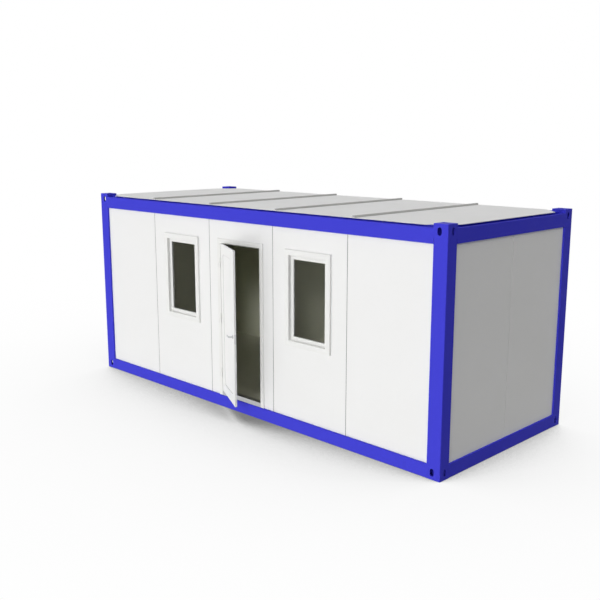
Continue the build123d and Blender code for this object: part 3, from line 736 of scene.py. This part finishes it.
def leverBar(spec):
    bend, neckRound, tipKeep = spec["bend"], spec["neckRound"], spec["tipKeep"]
    armLevel = middleDepth - leverLow[1] - spec["barHalfThick"]  # from the leaf's middle to the arm's middle
    armEnd = spec["armBack"] - spec["tip"]
    neck = np.linspace(0, armLevel - bend, spec["neckSteps"])[:-1]
    turn = np.linspace(0, pi / 2, spec["bendSteps"])
    arm = np.linspace(bend, armEnd, spec["armSteps"])[1:]
    tip = np.linspace(0, spec["tipTurn"], spec["tipSteps"])[1:]
    onArm = np.ones(len(arm) + len(tip))
    reach = np.concatenate([0 * neck, bend * (1 - np.cos(turn)), arm, armEnd + spec["tip"] * np.sin(tip)])
    stand = np.concatenate([neck, armLevel - bend * (1 - np.sin(turn)), armLevel * onArm])
    lean = np.concatenate([0 * neck, turn, pi / 2 * onArm])[:, None]
    shrink = np.concatenate([np.ones(len(reach) - len(tip)), np.cos(tip)])[:, None]
    flatten = lean / (pi / 2)
    halfThick = neckRound + flatten * (spec["barHalfThick"] - neckRound)
    halfTall = neckRound + flatten * (spec["barHalfTall"] - neckRound)
    power = 2 / (2 + flatten * (spec["square"] - 2))
    angle = np.linspace(0, 2 * pi, spec["steps"], endpoint=False)[None, :]
    across = np.sign(np.cos(angle)) * np.abs(np.cos(angle)) ** power
    across = across * halfThick * (tipKeep + (1 - tipKeep) * shrink)
    up = np.sign(np.sin(angle)) * np.abs(np.sin(angle)) ** power * halfTall * shrink
    along = spindleAlong - reach[:, None] - across * np.cos(lean)
    depth = middleDepth - stand[:, None] + across * np.sin(lean)
    points = np.stack([along, depth, spindle[2] + up], -1).reshape(-1, 3)
    return onLeaf((points, tubeFaces(len(reach), spec["steps"])))


def insideTurn(spec):  # (radius, depth) of the low round turn on the spindle's inner end
    outer, ease, back = spec["turnRound"], spec["ease"], leverHigh[1]
    seat = back - spec["turnThick"]
    crown = [(outer - ease * inwards, back - ease * down) for inwards, down in spec["crownShares"]]
    return [(poleRound, middleDepth), (spec["neckRound"], middleDepth), (spec["neckRound"], seat),
            (outer - ease, seat), (outer, seat + ease), *crown, (poleRound, back)]


def onSpindle(shape):  # (across, up, depth) about the spindle's axis
    points, faces = shape
    across, up, depth = points.T
    return onLeaf((np.stack([spindleAlong + across, depth, spindle[2] + up], 1), faces))


lever = joinShapes([
    leverBar(leverShape), onSpindle(turnProfile(insideTurn(leverShape), leverShape["steps"]))])
makePiece("lever_handle", lever, "handle", "handle_metal", stands=["door_handle"],
          smoothAngle=leverShape["smoothAngle"])

# rose: a ring section of (radius, depth) turned about the spindle, with a rolled rim
roseShape = {
    "bore": 0.0093, "round": 0.024, "rim": 0.003, "boreEase": (0.002, 0.001), "steps": 40, "rimSteps": 6}
roseLow, roseHigh = leafBox("handle_rose")


def roseProfile(spec):
    bore, outer, rim = spec["bore"], spec["round"], spec["rim"]
    easeOut, easeDown = spec["boreEase"]
    roll = np.linspace(0, pi / 2, spec["rimSteps"])
    return np.concatenate([
        [(bore, roseHigh[1]), (outer, roseHigh[1])],
        np.stack([outer - rim * (1 - np.cos(roll)), roseLow[1] + rim * (1 - np.sin(roll))], 1),
        [(bore + easeOut, roseLow[1]), (bore, roseLow[1] + easeDown)]])


rose = turnProfile(roseProfile(roseShape), roseShape["steps"], ring=True)
makePiece("lever_rose", onSpindle(rose), "door", "handle_metal", stands=["handle_rose"],
          smoothAngle=leverShape["smoothAngle"])


# flat plate with a softened outer edge: its outline, drawn in towards the middle as it rises from the seat
def easedPlate(wide, tall, corner, thick, ease):
    outline = plateOutline(wide, tall, corner)
    nick = ease * easeShare
    levels = ((0.0, 0.0), (0.0, thick - ease), (nick, thick - nick), (ease, thick))
    halfSpan = np.abs(outline).max(0)
    count = len(outline)
    rings = [np.concatenate([outline * (1 - inset / halfSpan), np.full((count, 1), height)], 1)
             for inset, height in levels]
    return np.concatenate(rings), tubeFaces(len(levels), count)


# latch plate on the leaf's free edge, with a latch that falls away inwards, and strike plate on the jamb
latchShape = {
    "wide": 0.018, "tall": 0.12, "round": 0.008, "thick": 0.0014, "ease": 0.0006, "drop": 0.02,
    "boltWide": 0.012, "boltTall": 0.018, "boltOut": 0.0045, "boltEase": 0.0015, "boltSlope": 0.4}
strikeShape = {
    "wide": 0.026, "tall": 0.17, "round": 0.006, "thick": 0.0014, "ease": 0.0006, "drop": 0.01,
    "depth": 0.026}


def latchPlate(spec):
    points, faces = easedPlate(spec["wide"], spec["tall"], spec["round"], spec["thick"], spec["ease"])
    across, up, out = points.T
    level = spindle[2] - spec["drop"]
    return onLeaf((np.stack([leafHigh[0] + out, middleDepth + across, level + up], 1), faces))


def latchBolt(spec):
    ease, wide = spec["boltEase"], spec["boltWide"]
    points, faces = easedPlate(wide, spec["boltTall"], ease, spec["boltOut"], ease)
    across, up, out = points.T
    fall = 1 - spec["boltSlope"] * (0.5 - across / wide)  # full at one side, less by boltSlope at the other
    out = np.where(out > spec["thick"], out * fall, out)
    return onLeaf((np.stack([leafHigh[0] + out, middleDepth - across, spindle[2] + up], 1), faces))


def strikePlate(spec):
    points, faces = easedPlate(spec["wide"], spec["tall"], spec["round"], spec["thick"], spec["ease"])
    across, up, out = points.T
    jamb = doorwayHigh.x - doorFrameShape["bar"]
    middle = frameFace + spec["depth"]
    level = spindle[2] - spec["drop"]
    return np.stack([jamb - out, middle + across, level + up], 1), faces


makePiece("latch_plate", latchPlate(latchShape), "door", "handle_metal")
makePiece("latch_bolt", latchBolt(latchShape), "door", "handle_metal")
makePiece("strike_plate", strikePlate(strikeShape), "cabin", "zinc_steel", trimFinishes["plated"])
print("door furniture fitted")


# hinges: a domed cap on each pin, part of an ellipse turned, and three round-headed screws in each plate
hingeShape = {
    "barrel": 0.0085, "cap": 0.0022, "capShare": 0.97, "capSteps": 20, "capRings": 6, "sink": 0.001,
    "screwRound": 0.0042, "screwTall": 0.0016, "screwTurn": 1.1, "screwSteps": 12, "screwRings": 5,
    "socket": 0.0014, "socketShares": ((1.0, 0.9375), (0.8, 0.35)), "socketFloorShare": 0.3,
    "plateStart": 0.0025, "plateDepth": 0.006,  # the plates' near edge and outer face, from the hinge line
    "apart": 0.2,  # more than any gap within a hinge, less than the gap to the next one
    "screwAt": ((0.014, 0.012), (0.030, 0.030), (0.014, 0.048))}  # (along the plate, up it)


def hingeCap(spec, level, up):  # a cap at this level, upright or turned over
    rise = np.linspace(0, spec["capShare"], spec["capRings"])
    dome = np.stack([spec["barrel"] * np.sqrt(1 - rise ** 2), spec["cap"] * rise], 1)
    profile = np.concatenate([[(poleRound, -spec["sink"]), (spec["barrel"], -spec["sink"])], dome])
    points, faces = turnProfile(profile, spec["capSteps"])
    return np.concatenate([pinPlace + points[:, :2] * (1, up), level + up * points[:, 2:]], 1), faces


def roundScrew(spec):  # a domed head with a sunk socket, turned
    headRound, tall = spec["screwRound"], spec["screwTall"]
    turn = np.linspace(0, spec["screwTurn"], spec["screwRings"])
    dome = np.stack([headRound * np.cos(turn), tall * np.sin(turn) / sin(spec["screwTurn"])], 1)
    socket = [(spec["socket"] * wide, tall * height) for wide, height in spec["socketShares"]]
    profile = np.concatenate([
        [(poleRound, -spec["sink"]), (headRound, -spec["sink"])], dome, socket,
        [(poleRound, tall * spec["socketFloorShare"])]])
    return turnProfile(profile, spec["screwSteps"])


# (along, depth, up) from the hinge line; side is 1 on the leaf and -1 on the frame
def plateScrews(spec, feet, side):
    points, faces = roundScrew(spec)
    across, up, out = points.T
    return joinShapes([(np.stack([
        side * (spec["plateStart"] + along) + across, spec["plateDepth"] - out, foot + rise + up], 1), faces)
        for foot in feet for along, rise in spec["screwAt"]])


def solidLevels(node, apart):  # foot and head of each solid of a node, from the lowest solid up
    heights = np.unique(np.round(nodePoints(node)[:, 2], 4))
    breaks = np.where(np.diff(heights) > apart)[0]
    return heights[np.append(0, breaks + 1)], heights[np.append(breaks, len(heights) - 1)]


frameFeet = solidLevels("frame_hinges", hingeShape["apart"])[0]
leafFeet, leafHeads = solidLevels("leaf_hinges", hingeShape["apart"])
footCaps = joinShapes([hingeCap(hingeShape, foot, -1) for foot in frameFeet])
makePiece("hinge_foot_caps", footCaps, "cabin", "hinge_paint")
headCaps = joinShapes([hingeCap(hingeShape, head, 1) for head in leafHeads])
makePiece("hinge_head_caps", headCaps, "door", "hinge_paint")
framePoints, frameFaces = plateScrews(hingeShape, frameFeet, -1)
makePiece("frame_hinge_screws", (framePoints + np.append(pinPlace, 0), frameFaces), "cabin", "hinge_paint")
makePiece("leaf_hinge_screws", onLeaf(plateScrews(hingeShape, leafFeet, 1)), "door", "hinge_paint")
print("hinges dressed")


# roof: a rolled bead along the sheets' outer edge, a circle carried round, and screws along each seam cap
roofShape = {
    "bead": 0.004, "beadRise": 0.002, "cut": 0.255, "sheets": 5,
    "screwEnd": 0.09, "screwCount": 7, "washer": 0.007, "steps": 12,
    "headLine": (  # (share of the washer's radius, height) up over the washer and the head
        (1.0, -0.0008), (1.0, 0.0004), (0.93, 0.0009), (0.62, 0.001), (0.58, 0.0018), (0.48, 0.0022))}
roofLow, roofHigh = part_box("roof_sheets")
capLow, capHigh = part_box("roof_seam_caps")


def roofPath(cut):  # anticlockwise round the sheets, whose corners are cut off
    left, right, front, back = roofLow.x, roofHigh.x, roofLow.y, roofHigh.y
    return [(right, front + cut), (right, back - cut), (right - cut, back), (left + cut, back),
            (left, back - cut), (left, front + cut), (left + cut, front), (right - cut, front)]


def edgeBead(spec):
    turn = np.linspace(0, 2 * pi, spec["steps"], endpoint=False)
    level = roofLow.z + spec["beadRise"]
    profile = np.stack([spec["bead"] * (1 - np.cos(turn)), level + spec["bead"] * np.sin(turn)], 1)
    return carryProfile(roofPath(spec["cut"]), profile)


def seamScrews(spec):
    line = [(spec["washer"] * share, height) for share, height in spec["headLine"]]
    foot, top = line[0][1], line[-1][1]
    points, faces = turnProfile([(poleRound, foot), *line, (poleRound, top)], spec["steps"])
    seams = jointPlaces(spec["sheets"], (roofHigh.x - roofLow.x) / spec["sheets"])
    places = np.linspace(capLow.y + spec["screwEnd"], capHigh.y - spec["screwEnd"], spec["screwCount"])
    return joinShapes([(points + (seam, place, capHigh.z), faces) for seam in seams for place in places])


makePiece("roof_edge_bead", edgeBead(roofShape), "cabin", "roof_skin")
makePiece("seam_cap_screws", seamScrews(roofShape), "cabin", "zinc_steel", trimFinishes["plated"])
print("roof dressed")


# joints of the front and back walls: a dark strip set in each, its face hollow as a parabola; the strip is painted
# shade standing in for the shadow in the joint gap
jointShadeShape = {"panels": 5, "pitch": 1.16, "half": 0.0033, "recess": 0.0012, "hollow": 0.0008, "deep": 0.012,
             "short": 0.001, "faceSteps": 7}
wallLow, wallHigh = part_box("front_panel_left")
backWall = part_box("back_wall_panels")[1].y


def jointStrip(spec):  # (across, depth) drawn up from the wall's foot to its head
    across = np.linspace(-1, 1, spec["faceSteps"])
    face = np.stack([across * spec["half"], spec["recess"] + spec["hollow"] * (1 - across ** 2)], 1)
    line = np.concatenate([face, [(spec["half"], spec["deep"]), (-spec["half"], spec["deep"])]])
    levels = np.array([wallLow.z + spec["short"], wallHigh.z - spec["short"]])
    flat = np.broadcast_to(line, (len(levels), *line.shape))
    height = np.broadcast_to(levels[:, None, None], (*flat.shape[:2], 1))
    return np.concatenate([flat, height], 2).reshape(-1, 3), tubeFaces(*flat.shape[:2])


stripPoints, stripFaces = jointStrip(jointShadeShape)
wallJoints = jointPlaces(jointShadeShape["panels"], jointShadeShape["pitch"])
for name, wallFace, inwards in (("front", wallLow.y, 1), ("back", backWall, -1)):
    facing = stripPoints * (1, inwards, 1)
    strips = joinShapes([(facing + (joint, wallFace, 0), stripFaces) for joint in wallJoints])
    makePiece(f"joint_painted_shade_{name}", strips, "cabin", "panel_skin", trimFinishes["rubber"])
print("wall joints sealed")
